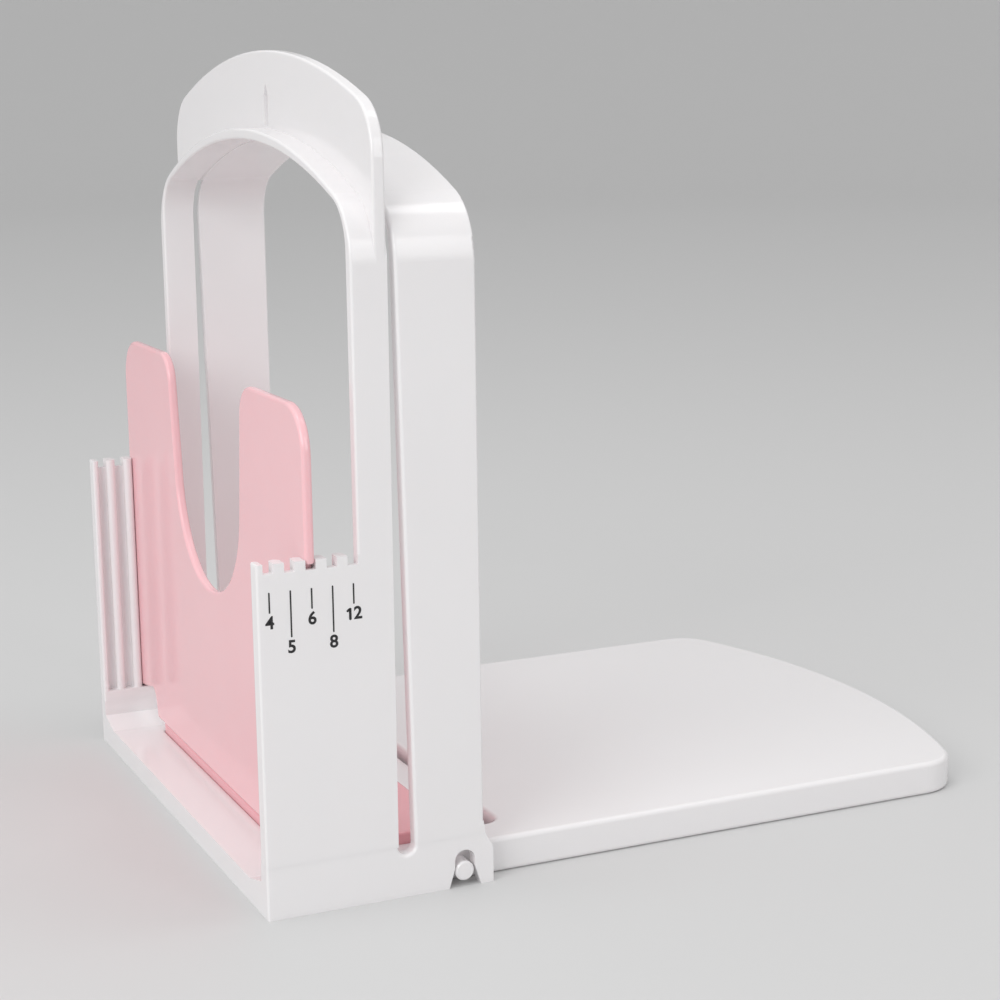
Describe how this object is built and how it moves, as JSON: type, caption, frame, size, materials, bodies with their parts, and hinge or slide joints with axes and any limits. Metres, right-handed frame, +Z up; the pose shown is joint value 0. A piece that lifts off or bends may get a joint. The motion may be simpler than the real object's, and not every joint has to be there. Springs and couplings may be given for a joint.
{
  "type": "bread slicer guide",
  "caption": "Bread slicing guide: arched knife frame on a floor between grooved comb walls, drop-in divider, cutting insert and a hinged loaf tray.",
  "frame": {"origin": "on the table, midway between the comb walls, under the plane that the knife rubs against", "axes": "+X across the loaf towards the wall with the thickness scale, +Y along the loaf towards the tray's far end, +Z up"},
  "size_m": [0.1536, 0.209, 0.1962],
  "materials": {
    "white_shell": "satin moulded white",
    "pink_plate": "glossy moulded pink"
  },
  "bodies": {
    "stand": {"base": "white_shell", "front_frame": "white_shell", "rear_frame": "white_shell", "cutting_insert": "pink_plate"},
    "divider": {"divider": "pink_plate"},
    "tray": {"tray": "white_shell"}
  },
  "joints": [
    {"name": "divider_lift", "type": "slide", "parent": "stand", "child": "divider", "axis": [0, 0, 1], "range_m": [0, 0.067]},
    {"name": "tray_fold", "type": "hinge", "parent": "stand", "child": "tray", "pos_m": [0, 0.0163, 0.0038], "axis": [1, 0, 0], "range_deg": [0, 90]}
  ]
}
